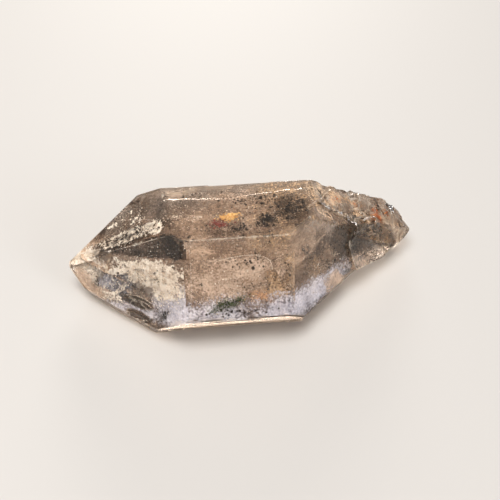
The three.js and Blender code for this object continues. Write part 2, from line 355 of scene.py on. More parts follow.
depth = sum(height * (smooth_noise(places, width, seed) - 1) for height, width, seed in WAVES)
broken = rough_end > 0
depth[broken] += rough_end[broken] * (facets(places[broken], FACET_PITCH, 3) * FACET_HEIGHT - FACET_SUNK)
moved = (places + outward * np.minimum(depth, 0)[:, None] + AXIS_AT) * MM
moved = np.clip(moved, np.array(cad_low), np.array(cad_high))
surface.vertices.foreach_set("co", moved.astype(np.float32).ravel())
surface.polygons.foreach_set("use_smooth", np.ones(len(surface.polygons), bool))
surface.set_sharp_from_angle(angle=math.radians(SHARP_ANGLE))
print("deepest, mm:", round(float(depth.min()), 3))

# %% [markdown]
# Which edges are rubbed and painted as highlit: a point counts if the surface turns sharply there, apart from
# a ledge on the hidden lower back face. The etched zones are soft spots on the two front faces of the pointed
# end, on the very tip and over the rough end. The lower front face has steps and gets painted shade, and the
# rough end is stained tan.

# %% Rubbed and highlit edges, etched zones, and painted shade on the steps
ends = read(surface.edges, "vertices", 2, np.int32)
sharp = read(surface.attributes["sharp_edge"].data, "value", 1, bool)[:, 0]
# every sharp edge: rubbed, and later painted pale as a highlight too
rubbed = np.zeros(count)
rubbed[ends[sharp].ravel()] = 1.0
LEDGE_Y, LEDGE_Z = 9.2, -4.2  # the middle of the hidden ledge, mm
back_ledge = (np.abs(places[:, 1] - LEDGE_Y) < 1.1) & (np.abs(places[:, 2] - LEDGE_Z) < 1.8)
rubbed[back_ledge] = 0.0
etched = np.maximum.reduce([
    spot(point[1], -10.0, -2.6, 7.5, 2.6),
    spot(point[1], -18.6, -1.6, 2.6, 3.2),
    spot(point[0], -11.5, 0.4, 6.5, 1.3, -11),
    0.55 * rough_end,
])
# the lower front face: its steps, and painted shade that darkens the whole face
steps_and_shade = spot(prism[2], -1.0, -2.5, 14.0, 4.5) * np.clip((outward @ prism[2]["out"] - 0.9) / 0.05, 0, 1)
stained = rough_end * np.clip((places[:, 0] - 10.0) / 5.0, 0, 1)
for name, values in {"rubbed": rubbed, "etched": etched, "steps_and_shade": steps_and_shade, "stained": stained}.items():
    surface.attributes.new(name, "FLOAT", "POINT").data.foreach_set("value", values.astype(np.float32))
print("rubbed points:", int(rubbed.sum()), " etched points:", int((etched > 0.5).sum()))

# %% [markdown]
# Quartz bends light by 1.544 and is clear, so the surface lets nearly all light through. The stone has a
# faint smoky tone, which deepens with thickness, so it is an absorption inside and not a paint outside.
# Fine growth lines run round the long faces, the etched zones are frosted, and rubbed edges scatter light
# and are painted pale, partly as a highlight. The lower front face's steps get painted shade.
# Lamps would be stopped by a clear surface, so for shadows alone it counts as a tinted film.

# %% The quartz
IOR = 1.544
# the rubbed finish lets less through, so that its pale colour shows: partly wear, partly a painted highlight
CLEAR, RUBBED_AND_HIGHLIT = 0.985, 0.35  # how much of the light goes through a clear and a rubbed place


def make_quartz(name, clear_share):
    """The surface of clear quartz, with etched, broken and rubbed places read from the piece's attributes;
    rubbed places carry a painted highlight and the lower front face painted shade.
    """
    material, tree, shader, out = make_material(name)
    here = add_node(tree, "ShaderNodeTexCoord").outputs["Object"]
    masks = {name: add_node(tree, "ShaderNodeAttribute", {"attribute_name": name}).outputs["Fac"]
             for name in ("etched", "rubbed", "steps_and_shade", "stained")}
    grain = noise(tree, here, 2900.0, 3.0, 0.6)
    patch = noise(tree, here, 700.0, 6.0, 0.62)
    cloud = noise(tree, here, 150.0, 3.0)
    frost = maths(tree, "MULTIPLY", masks["etched"], between(tree, patch, 0.44, 0.56))
    dull = maths(tree, "MAXIMUM", frost, maths(tree, "MULTIPLY", masks["rubbed"], 0.8))
    dull = maths(tree, "MAXIMUM", dull, maths(tree, "MULTIPLY", masks["steps_and_shade"], 0.6))
    sheen = maths(tree, "MULTIPLY", between(tree, cloud, 0.2, 0.9), 0.16)
    rough = maths(tree, "ADD", maths(tree, "MULTIPLY", dull, 0.38), sheen)
    tree.links.new(rough, shader.inputs["Roughness"])
    mixed = maths(tree, "ADD", maths(tree, "MULTIPLY", grain, 0.65), maths(tree, "MULTIPLY", patch, 0.35))
    fleck = between(tree, mixed, 0.40, 0.60)
    clear = blend_colours(tree, fleck, (0.80, 0.73, 0.67, 1), (0.99, 0.97, 0.95, 1))
    # step lines on the lower front face: a bump, and painted shade that darkens them
    steps = add_node(tree, "ShaderNodeMapping", Vector=here, Scale=(0.03, 1.0, 1.0)).outputs["Vector"]
    ledge_and_shade = between(tree, noise(tree, steps, 2600.0, 3.0), 0.42, 0.58)
    ledge_and_shade = maths(tree, "MULTIPLY", masks["steps_and_shade"], ledge_and_shade)
    tan = maths(tree, "MULTIPLY", masks["stained"], 0.85)
    clear = blend_colours(tree, tan, clear, (0.44, 0.33, 0.25, 1))
    # painted shade over the whole lower front face, and darker painted shade along its step lines
    shaded = maths(tree, "MULTIPLY", masks["steps_and_shade"], 0.8)
    clear = blend_colours(tree, shaded, clear, (0.50, 0.44, 0.39, 1))
    clear = blend_colours(tree, ledge_and_shade, clear, (0.22, 0.15, 0.10, 1))
    # rubbed edges painted pale: partly wear, partly a painted highlight
    worn_and_highlit = maths(tree, "MULTIPLY", masks["rubbed"], 0.9)
    tree.links.new(blend_colours(tree, worn_and_highlit, clear, (0.97, 0.86, 0.74, 1)), shader.inputs["Base Color"])
    lines = add_node(tree, "ShaderNodeMapping", Vector=here, Scale=(1.0, 0.03, 0.03)).outputs["Vector"]
    fine = add_node(tree, "ShaderNodeBump", Strength=0.10, Distance=0.00006,
                    Height=noise(tree, lines, 1100.0, 3.0))
    pitted = maths(tree, "MULTIPLY", grain, maths(tree, "ADD", dull, 0.25))
    pits = add_node(tree, "ShaderNodeBump", Strength=0.3, Distance=0.00005, Height=pitted,
                    Normal=fine.outputs["Normal"])
    ledges = add_node(tree, "ShaderNodeBump", Strength=1.0, Distance=0.0003, Height=ledge_and_shade,
                      Normal=pits.outputs["Normal"])
    tree.links.new(ledges.outputs["Normal"], shader.inputs["Normal"])
    shader.inputs["IOR"].default_value = IOR
    shader.inputs["Transmission Weight"].default_value = clear_share
    film = add_node(tree, "ShaderNodeBsdfTransparent", Color=(0.74, 0.70, 0.66, 1))
    lamp_ray = add_node(tree, "ShaderNodeLightPath").outputs["Is Shadow Ray"]
    mix = add_node(tree, "ShaderNodeMixShader", i0=lamp_ray, i1=shader.outputs[0], i2=film.outputs[0])
    tree.links.new(mix.outputs[0], out.inputs["Surface"])
    smoke = add_node(tree, "ShaderNodeVolumeAbsorption", Color=(0.61, 0.53, 0.46, 1), Density=82.0)
    tree.links.new(smoke.outputs[0], out.inputs["Volume"])
    return material


quartz = finish_piece("quartz_surface", surface, "quartz", make_quartz("quartz", CLEAR),
                      make_quartz("rubbed quartz", RUBBED_AND_HIGHLIT))
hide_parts("quartz_crystal")

# %% [markdown]
# The edges that show as bright lines get a second finish that lets less light through, so that their pale
# colour shows: partly wear, partly a painted highlight. They are the rubbed ones that turn away from every
# true face, in uneven stretches. The rough end, the back, the lower front face and one dark corner beside
# the tip stay without them, as on the real stone.

# %% Bright lines along the rubbed edges: wear and painted highlight
EDGE_TURN = 14  # a triangle that turns less than this from a true face, in degrees, is part of the face
BACK_EDGES = 4.7  # behind this place across the stone, in mm, no edge shows bright
triangles = read(surface.polygons, "vertices", 3, np.int32)
middles = places[triangles].mean(axis=1)
facing = read(surface.polygons, "normal")
straight_on = (facing @ wall_out.T).max(axis=1)
# the triangles along the rubbed edges that take the pale finish, as wear and painted highlight
highlit_rubbed_edges = rubbed[triangles].all(axis=1) & (straight_on < math.cos(math.radians(EDGE_TURN)))
highlit_rubbed_edges &= rough_end[triangles].max(axis=1) < 0.2
highlit_rubbed_edges &= smooth_noise(middles, 1.1, 21) > -0.10
highlit_rubbed_edges &= spot(point[0], -5.2, -2.6, 1.4, 1.6)[triangles].max(axis=1) < 0.2
highlit_rubbed_edges &= (middles[:, 1] < BACK_EDGES) & (facing @ prism[2]["out"] < 0.9)
surface.polygons.foreach_set("material_index", highlit_rubbed_edges.astype(np.int32))
print("rubbed triangles:", int(highlit_rubbed_edges.sum()))

# %% [markdown]
# Specks inside the stone. They are real grains of other minerals, each a small rough lump. One lump is an
# icosahedron, and a whole cloud of them is made at once as arrays: a size, a turn and a place for each.
# They sit along the camera's line of sight as the quartz bends it, from the place on the face where they
# show. A lump that would come out of the stone is left out or made smaller.

# %% A cloud of grains
shell = BVHTree.FromPolygons((moved / MM - AXIS_AT).tolist(), triangles.tolist())
LOOK_OUT = Vector((0.13, 0.29, 0.95)).normalized()  # along none of the stone's faces
LUMP_MARGIN, LUMP_REACH = 0.03, 1.15  # how deep a lump's middle lies at least, mm, and its reach for size 1


def inside_stone(points, margin):
    """True where a point is inside the surface by at least a margin: looking up from it, the first surface
    that is met is seen from its back, and the nearest place on the surface is further than the margin."""
    points = points.tolist()
    met = [shell.ray_cast(point, LOOK_OUT)[1] for point in points]
    within = np.array([facing is not None and facing.dot(LOOK_OUT) > 0 for facing in met])
    return within & (distance_out(points) > margin)


def distance_out(points):
    """How far each point is from the nearest place on the surface, mm."""
    return np.array([shell.find_nearest(point)[3] for point in points])


def sight_under(face, along, across, deep):
    """Places `deep` under the surface on the bent line of sight: the eye's ray goes in at the place on the
    face, and its direction inside is d / n + (cos in / n - cos inside) * out."""
    start = (face["out"] * face["reach"] + np.multiply.outer(along, face["along"])
             + np.multiply.outer(across, face["across"]))
    ray = start - (camera_at - AXIS_AT)
    ray /= np.linalg.norm(ray, axis=-1, keepdims=True)
    entering = -(ray @ face["out"])[..., None]
    inside = np.sqrt(1 - (1 - entering ** 2) / IOR ** 2)
    bent = ray / IOR + (entering / IOR - inside) * face["out"]
    return start + bent * (deep / inside[..., 0])[..., None]


def cluster(face, along, across, long, wide, turn, deep, count):
    """Scattered places round a spot on a face, denser in the middle, between two depths under it."""
    a, b = random.normal(0, 0.5, (2, count))
    a, b = a * long, b * wide
    c, s = math.cos(math.radians(turn)), math.sin(math.radians(turn))
    depths = random.uniform(deep[0], deep[1], count)
    return sight_under(face, along + a * c - b * s, across + a * s + b * c, depths)


def icosahedron():
    """The 12 corners on three golden rectangles, and the 20 triangles that join them, facing outwards."""
    g = (1 + math.sqrt(5)) / 2
    corners = np.array([[-1, g, 0], [1, g, 0], [-1, -g, 0], [1, -g, 0], [0, -1, g], [0, 1, g],
                        [0, -1, -g], [0, 1, -g], [g, 0, -1], [g, 0, 1], [-g, 0, -1], [-g, 0, 1]])
    apart = np.linalg.norm(corners[:, None] - corners[None], axis=2)
    joined = np.isclose(apart, 2.0)
    first, second, third = np.meshgrid(*[np.arange(12)] * 3, indexing="ij")
    keep = (first < second) & (second < third)
    keep &= joined[first, second] & joined[second, third] & joined[first, third]
    faces = np.stack([first[keep], second[keep], third[keep]], axis=1)
    a, b, c = (corners[faces[:, i]] for i in range(3))
    inward = (np.cross(b - a, c - a) * (a + b + c)).sum(axis=1) < 0
    faces[inward] = faces[inward][:, ::-1]
    return corners / np.linalg.norm(corners[0]), faces


def make_grains(name, centres, sizes, flat, material):
    """One mesh of many lumps: lump = centre + turn * (icosahedron * uneven radius * size, squashed)."""
    corners, faces = icosahedron()
    kept = inside_stone(centres, LUMP_MARGIN)
    centres, sizes = centres[kept], sizes[kept]
    sizes = np.minimum(sizes, distance_out(centres.tolist()) / LUMP_REACH)
    count = len(centres)
    uneven = random.uniform(0.65, 1.1, (count, 12, 1)) * corners
    uneven[..., 2] *= flat
    spin = np.linalg.qr(random.normal(size=(count, 3, 3)))[0]
    spin[np.linalg.det(spin) < 0, 0] *= -1
    lumps = np.einsum("nij,nkj->nki", spin, uneven) * sizes[:, None, None] + centres[:, None]
    points = (lumps.reshape(-1, 3) + AXIS_AT) * MM
    triangles = (faces[None] + 12 * np.arange(count)[:, None, None]).reshape(-1, 3)
    mesh = bpy.data.meshes.new(name)
    mesh.from_pydata(points.tolist(), [], triangles.tolist())
    finish_piece(name, mesh, None, material)


def make_grain_material(name, dark, light, roughness):
    """Grains that run from a dark to a light colour from place to place."""
    material, tree, shader, _ = make_material(name)
    here = add_node(tree, "ShaderNodeTexCoord").outputs["Object"]
    tone = noise(tree, here, 1800.0, 3.0)
    mixed = blend_colours(tree, between(tree, tone, 0.35, 0.65), (*dark, 1), (*light, 1))
    tree.links.new(mixed, shader.inputs["Base Color"])
    tree.links.new(between(tree, tone, -roughness, 2 - roughness), shader.inputs["Roughness"])
    return material


def make_cloud(name, rows, flat, material, middle, scatter=0.4, least=None, most=None):
    """All the clusters of one mineral as one piece: sizes in mm scatter round a middle one, from a least
    size to the most."""
    centres = np.concatenate([cluster(*row) for row in rows])
    sizes = random.lognormal(math.log(middle), scatter, len(centres))
    make_grains(name, centres, sizes.clip(least or middle / 2, most or middle * 2.5), flat, material)


random = np.random.default_rng(11)  # all grains draw from it in turn, so the order of the pieces matters

# %% [markdown]
# The dark specks lie in clusters, as the growing stone caught them. Each row is one cluster near one face:
# where its middle is, how long and wide it is, how deep under the face it lies and how many specks it has.
# Most specks are hardly a tenth of a millimetre wide.

# %% Dark specks
DARK = [  # face, along, across, length, width, turn, depths, how many
    (prism[0], 1.4, -2.1, 1.9, 1.5, 10, (0.03, 0.5), 300),
    (prism[0], 4.7, -0.4, 3.0, 2.2, 0, (0.03, 0.8), 230),
    (prism[0], 1.6, 1.8, 5.5, 1.8, 0, (0.05, 1.2), 150),
    (prism[0], -3.0, -3.2, 5.0, 1.1, 0, (0.03, 0.6), 150),
    (prism[0], -9.5, 3.5, 3.5, 2.5, 0, (0.05, 0.8), 40),
    (prism[1], 5.3, -1.4, 1.2, 2.6, 20, (0.03, 0.5), 300),
    (prism[1], 4.8, -3.6, 0.9, 1.8, 0, (0.03, 0.5), 130),
    (prism[1], 0.9, 4.7, 1.6, 1.0, 0, (0.05, 0.8), 80),
    (prism[1], -1.5, 0.6, 4.5, 1.2, 0, (0.05, 0.8), 50),
    (prism[1], 0.0, -2.4, 5.0, 2.0, 0, (0.05, 0.8), 60),
    (prism[0], -10.6, -5.0, 1.4, 1.6, 0, (0.03, 0.4), 90),
    (point[1], -5.4, 4.3, 1.7, 1.4, -20, (0.03, 0.3), 240),
    (point[1], -4.6, 2.4, 1.2, 1.6, 0, (0.03, 0.3), 130),
    (point[1], -9.5, 2.2, 6.0, 1.2, 0, (0.03, 0.4), 160),
    (point[1], -6.7, -6.9, 0.9, 0.6, 50, (0.03, 0.15), 110),
    (point[1], -10.0, -1.8, 6.0, 1.8, 0, (0.03, 0.3), 130),
    (point[1], -18.6, -2.4, 2.4, 1.6, 0, (0.03, 0.3), 30),
    (point[0], -10.5, 0.6, 6.0, 1.5, -12, (0.03, 0.25), 300),
    (point[0], -13.5, 0.9, 3.0, 0.9, -12, (0.03, 0.25), 120),
    (rough[1], 11.3, 0.2, 3.4, 1.8, 0, (0.05, 0.8), 260),
    (rough[1], 5.0, 1.0, 4.0, 2.6, 0, (0.05, 1.0), 100),
    (rough[1], 7.0, -2.4, 4.0, 1.4, -15, (0.05, 1.0), 80),
    (prism[1], -4.0, -6.6, 6.0, 1.0, 0, (0.05, 0.6), 80),
    (knob, 4.5, 2.6, 2.6, 1.8, 0, (0.9, 1.8), 120),
    (knob, 12.0, 3.5, 4.0, 2.6, 0, (0.9, 1.8), 150),
    (knob, 10.5, 0.0, 3.0, 1.6, 0, (0.9, 1.8), 110),
    (knob, 16.5, 3.0, 3.0, 2.6, 0, (0.6, 1.6), 110),
    (prism[1], -8.3, -2.2, 0.30, 0.22, 30, (0.03, 0.15), 16),
]
dark_grain = make_grain_material("dark specks", (0.010, 0.008, 0.006), (0.045, 0.030, 0.018), 0.5)
make_cloud("dark_specks", DARK, 0.7, dark_grain, 0.105, 0.5, 0.045, 0.32)

# %% [markdown]
# A few black specks are larger than the rest, and they are what one sees first. They sit in the middle of
# the dark clusters, and one lone group stands on the front face.

# %% The largest black specks
BLACK = [
    (point[1], -5.6, 4.6, 1.5, 1.2, -20, (0.05, 0.3), 60),
    (point[1], -4.5, 2.2, 1.0, 1.5, 0, (0.05, 0.3), 30),
    (point[1], -6.7, -6.9, 0.9, 0.5, 50, (0.03, 0.18), 60),
    (point[1], -11.0, -7.7, 1.3, 0.35, -14, (0.03, 0.2), 60),
    (point[0], -11.5, 0.4, 5.0, 1.0, -12, (0.05, 0.25), 60),
    (prism[0], 1.4, -2.1, 1.5, 1.2, 10, (0.05, 0.5), 44),
    (prism[0], 4.7, -0.4, 2.4, 2.2, 0, (0.05, 0.8), 34),
    (prism[0], -2.6, -3.2, 1.6, 0.5, 0, (0.05, 0.5), 16),
    (prism[0], -5.2, -2.5, 1.0, 0.5, 0, (0.03, 0.2), 12),
    (prism[1], 5.3, -1.4, 1.0, 2.4, 20, (0.05, 0.5), 44),
    (prism[1], 4.6, -4.2, 0.6, 1.2, 0, (0.05, 0.5), 20),
    (prism[1], -8.3, -2.2, 0.22, 0.20, 30, (0.05, 0.2), 8),
    (rough[1], 11.3, 0.2, 3.0, 1.6, 0, (0.05, 0.8), 30),
    (knob, 12.0, 2.8, 2.4, 1.8, 0, (0.6, 1.2), 30),
    (knob, 16.5, 3.0, 3.0, 2.4, 0, (0.5, 1.2), 24),
]
make_cloud("black_specks", BLACK, 0.7, dark_grain, 0.17, 0.35, 0.10, 0.34)

# %% [markdown]
# Iron colours some grains red, ochre and orange, and a green mineral grew in small flakes. White flakes are
# bits of broken crust, and also painted glints where the faces sparkle. Each mineral is a cloud of its own,
# so that each can have its own finish. A flatness under 1 presses the lumps into flakes.

# %% Coloured grains
RED = [(prism[0], -5.3, -2.2, 1.3, 0.75, 5, (0.03, 0.25), 190)]
OCHRE = [
    (prism[0], -4.1, -1.1, 1.35, 0.72, 8, (0.05, 0.4), 200),
    (prism[0], -3.3, -0.8, 1.0, 0.45, 8, (0.05, 0.4), 70),
    (prism[1], -0.7, -4.5, 2.2, 0.9, 0, (0.5, 0.9), 12),
]
ORANGE = [
    (knob, 16.3, 5.6, 0.8, 1.5, 0, (0.4, 1.1), 200),
    (knob, 9.5, 5.4, 2.6, 1.0, 25, (0.8, 1.4), 70),
    (knob, 18.6, 7.6, 1.2, 0.6, -30, (0.3, 1.0), 30),
]
GREEN = [
    (prism[1], -4.9, -5.2, 1.9, 0.75, 0, (0.03, 0.3), 360),
    (prism[1], -3.3, -4.7, 1.5, 0.5, 15, (0.03, 0.3), 200),
    (prism[1], -6.2, -5.8, 1.2, 0.6, 30, (0.03, 0.3), 110),
    (knob, 6.0, 2.9, 2.2, 1.2, 15, (0.8, 1.4), 60),
]
# white flakes: bits of broken crust, and painted glints, thickest on the point's faces
WHITE_AND_GLINTS = [
    (prism[0], -11.2, -0.4, 0.9, 0.5, 10, (0.05, 0.3), 40),
    (prism[0], -8.4, -0.7, 0.9, 0.35, 0, (0.05, 0.3), 40),
    (prism[0], -9.4, 4.5, 3.0, 0.8, 0, (0.05, 0.3), 110),
    (prism[0], -10.0, 1.5, 3.0, 4.0, 0, (0.05, 0.5), 70),
    (prism[0], 0.0, 2.8, 6.0, 2.6, 0, (0.05, 0.6), 50),
    (prism[0], -4.1, -1.0, 1.8, 0.8, 18, (0.05, 0.3), 12),
    (prism[1], -2.5, -1.5, 8.0, 5.0, 0, (0.05, 0.6), 160),
    (prism[1], -10.4, 3.3, 1.2, 0.7, 0, (0.05, 0.3), 24),
    (prism[1], -5.0, -5.2, 3.5, 1.4, 0, (0.2, 0.7), 140),
    (point[1], -9.0, -1.6, 6.0, 2.0, 0, (0.05, 0.3), 640),
    (point[1], -9.0, 2.6, 6.0, 1.6, 0, (0.05, 0.4), 110),
    (point[1], -15.0, -3.6, 3.0, 1.4, 30, (0.05, 0.3), 150),
    (point[1], -6.5, -4.6, 4.0, 2.4, 0, (0.05, 0.3), 200),
    (point[1], -19.3, -1.4, 1.8, 2.0, 0, (0.5, 0.9), 260),
    (point[0], -11.0, 0.5, 7.0, 1.6, -12, (0.05, 0.3), 460),
    (point[0], -11.0, 4.4, 5.0, 1.6, -20, (0.05, 0.5), 110),
    (rough[1], 6.0, -2.4, 5.0, 1.8, -15, (0.05, 0.8), 100),
    (knob, 7.0, 3.2, 4.0, 2.4, 10, (0.7, 1.5), 160),
    (knob, 13.0, 4.6, 6.0, 3.6, 0, (0.5, 1.5), 180),
    (knob, 19.6, 6.2, 2.2, 2.6, 0, (0.2, 1.0), 60),
]
MINERALS = {  # clusters, middle size in mm, flatness, dark tone, light tone
    "red_specks": (RED, 0.12, 0.7, (0.10, 0.010, 0.012), (0.32, 0.05, 0.04)),
    "ochre_grains": (OCHRE, 0.13, 0.8, (0.60, 0.33, 0.10), (0.98, 0.78, 0.42)),
    "orange_stain_grains": (ORANGE, 0.11, 0.5, (0.46, 0.13, 0.03), (0.86, 0.38, 0.13)),
    "green_flakes": (GREEN, 0.075, 0.4, (0.030, 0.05, 0.018), (0.12, 0.17, 0.07)),
    "white_flakes_and_glints": (WHITE_AND_GLINTS, 0.075, 0.4, (0.75, 0.66, 0.56), (1.0, 0.97, 0.92)),
}
for name, (rows, middle, flat, dark, light) in MINERALS.items():
    make_cloud(name, rows, flat, make_grain_material(name, dark, light, 0.5), middle)

# %% [markdown]
# Dust. Between the specks that one can point at, the stone is full of much finer grains, brown and pale.
# They are what makes its clear parts look mottled rather than smooth. They lie thinly under each face that
# shows, and fewer deep inside.

# %% Fine dust
DUST_AREAS = [  # face, along, across, length, width, depths, how many
    (prism[0], -2.0, 0.0, 11.0, 5.0, (0.05, 2.5), 1500),
    (prism[1], -3.0, -1.5, 8.0, 6.5, (0.05, 2.5), 1500),
    (rough[1], 6.0, 0.0, 8.0, 4.0, (0.05, 2.5), 900),
    (point[0], -11.0, 2.0, 7.5, 4.0, (0.05, 1.5), 700),
    (point[1], -10.0, -1.0, 8.0, 5.0, (0.05, 1.5), 1000),
    (knob, 11.0, 3.0, 10.0, 5.0, (0.6, 2.5), 900),
    (prism[4], 0.0, 0.0, 12.0, 4.0, (0.05, 2.5), 400),
    (prism[5], 0.0, 0.0, 12.0, 4.0, (0.05, 2.5), 400),
]


def spread(face, along, across, long, wide, deep, count):
    """Places spread evenly over an oval on a face: radius = sqrt(u), angle = 2 pi v, a depth each."""
    radius, angle = np.sqrt(random.uniform(0, 1, count)), random.uniform(0, 2 * math.pi, count)
    a, b = along + long * radius * np.cos(angle), across + wide * radius * np.sin(angle)
    inward = random.uniform(deep[0], deep[1], count)
    return (face["out"] * (face["reach"] - inward)[:, None] + a[:, None] * face["along"]
            + b[:, None] * face["across"])


DUST_SIZE, DUST_LEAST, DUST_MOST = 0.050, 0.02, 0.12  # mm


def make_dust(name, share, dark, light):
    """One mesh of fine grains, with a share of the number in each dust area."""
    centres = np.concatenate([spread(*row[:-1], int(row[-1] * share)) for row in DUST_AREAS])
    sizes = random.lognormal(math.log(DUST_SIZE), 0.35, len(centres)).clip(DUST_LEAST, DUST_MOST)
    make_grains(name, centres, sizes, 0.7, make_grain_material(name, dark, light, 0.6))


make_dust("brown_dust", 0.8, (0.05, 0.032, 0.02), (0.16, 0.10, 0.06))
make_dust("pale_dust", 0.6, (0.70, 0.60, 0.50), (1.0, 0.94, 0.86))

# %% [markdown]
# Scratches and fine cracks catch the light as thin pale lines. Each is a row of tiny slivers just under the
# surface, from one place on a face to another, straight or bent. The two edges that run along the front are
# drawn the same way, as a painted highlight where their faces meet, and so are painted highlights on the ribs
# of the ribbed chip. Dark lines are painted shade in the grooves of the ribbed chip, and one dark line runs
# along the seam in the far end.

# %% Fine lines


def meeting(face, other, along, short=0.12):
    """Where a face meets another, as a place on the first, and a little short of it: along, and across =
    (reach of the other - out of the other . (reach out + along)) / (out of the other . across)."""
    rest = other["reach"] - (face["reach"] * face["out"] + along * face["along"]) @ other["out"]
    return along, float(rest / (face["across"] @ other["out"])) - short * np.sign(rest)


LINES = [  # face, start, end, bend, depth, how many
    (prism[1], (-6.3, 0.9), (0.0, 1.45), 0.05, 0.1, 70),
    (prism[1], (-0.5, 1.3), (1.5, -0.8), 0.25, 0.1, 40),
    (prism[1], (-10.9, -2.0), (-11.2, -4.2), 0.05, 0.1, 24),
    (prism[1], (-9.8, 3.2), (-9.9, -6.5), 0.02, 0.1, 60),
    (rough[1], (4.0, 1.5), (7.2, 2.2), 0.02, 0.1, 44),
    (rough[1], (-1.4, 3.0), (-1.5, -6.0), 0.02, 0.1, 60),
    (knob, (9.6, 1.0), (12.9, -1.2), 0.05, 0.9, 50),
    (knob, (19.4, 7.8), (19.2, 3.8), 0.12, 0.5, 30),
    (knob, (20.4, 8.0), (20.2, 4.2), 0.12, 0.5, 30),
    # painted highlights on the three ribs of the ribbed chip, between its grooves of painted shade
    (point[1], (-13.0, -4.9), (-8.6, -5.5), 0.10, 0.1, 60),
    (point[1], (-12.9, -5.3), (-8.7, -6.1), 0.10, 0.1, 60),
    (point[1], (-12.7, -5.7), (-9.0, -6.6), 0.10, 0.1, 50),
    (point[0], (-13.2, 4.6), (-6.6, 0.2), 0.02, 0.1, 50),
    # painted highlights along the two front edges, where their faces meet
    (point[1], meeting(point[1], point[0], -18.5), meeting(point[1], point[0], -6.0), 0.0, 0.08, 150),
    (prism[1], meeting(prism[1], prism[0], -9.0), meeting(prism[1], prism[0], 5.0), 0.0, 0.08, 150),
]


def line_on(face, start, end, bend, deep, count):
    """place(u) = start + u (end - start) + 4 u (1 - u) bend * length * sideways, at a depth, with u from
    0 to 1."""
    start, end = np.array(start), np.array(end)
    u = (np.arange(count) + random.uniform(0, 1, count)) / count
    way = end - start
    side = np.array([-way[1], way[0]])
    flat = start + u[:, None] * way + (4 * u * (1 - u) * bend)[:, None] * side
    return sight_under(face, flat[:, 0], flat[:, 1], np.full(count, deep))


# painted shade in the three grooves of the ribbed chip, and a dark line along the seam in the far end
GROOVE_SHADE_AND_SEAM = [
    (point[1], (-13.0, -5.1), (-8.6, -5.8), 0.10, 0.1, 80),
    (point[1], (-12.8, -5.5), (-8.8, -6.35), 0.10, 0.1, 70),
    (point[1], (-12.5, -5.95), (-9.3, -6.85), 0.10, 0.1, 50),
    (knob, (20.9, 8.0), (20.7, 4.4), 0.12, 0.4, 40),
]


def make_lines(name, rows, least, most, material):
    """All the lines of one tone as one piece, of slivers between two sizes in millimetres."""
    centres = np.concatenate([line_on(*row) for row in rows])
    make_grains(name, centres, random.uniform(least, most, len(centres)), 0.6, material)


make_lines("groove_shade_and_seam_lines", GROOVE_SHADE_AND_SEAM, 0.08, 0.14, dark_grain)
pale_grain = make_grain_material("fine lines", (0.80, 0.72, 0.64), (1.0, 0.97, 0.92), 0.4)
make_lines("fine_lines", LINES, 0.035, 0.075, pale_grain)

# %% [markdown]
# Veils. Where the crystal paused in its growth or healed a crack, it holds thin milky sheets. Most of them
# follow its faces a millimetre or so inside, and three lie level through its middle. Each is a grid through
# the stone: along it in one parameter and from wall to wall in the other. Cells with a corner outside the
# real surface, with its chips and hollows, are left out.
# How thick the milk lies is an attribute, and patches of noise decide where it shows. Sheets and not fog,
# because a sheet shifts against the faces as one walks round the stone, as real veils do.

# %% A sheet through the stone
KNOB_ROOM = 1.2  # how far a sheet may go on into the later growth, mm
FLAT, FAR = 1e-9, 1e3  # a slope that counts as none, and a distance that counts as no wall
wall_reach = np.array([wall["reach"] for wall in walls])
wall_reach[-len(rough):] += KNOB_ROOM


def room(starts, way, margin):
    """How far a line can go from each start, back and forth, before it comes within a margin of a wall:
    each wall allows (reach - margin - out . start) / (out . way)."""
    slope = wall_out @ way
    allowed = (wall_reach - margin - starts @ wall_out.T) / np.where(np.abs(slope) < FLAT, FLAT, slope)
    high = np.where(slope > FLAT, allowed, FAR).min(axis=-1)
    low = np.where(slope < -FLAT, allowed, -FAR).max(axis=-1)
    return low, np.maximum(high, low + 1e-3)


SHEET_MARGIN, THINNEST = 0.05, 0.02  # mm inside the surface, and the least thickness that is built


def zones(*ovals, limit=None):
    """Thickness from ovals, each a weight and then an oval: the thickest counts, and a weight under 0 thins
    what is there. A limit is a function that is true where the sheet may be."""
    def thick(a, b):
        cover = np.zeros(np.broadcast(a, b).shape)
        for weight, *shape in ovals:
            here = weight * oval(a, b, *shape)
            cover = np.maximum(cover, here) if weight > 0 else cover + here
        return np.clip(cover, 0, 1) * (limit(a, b) if limit else 1)
    return thick


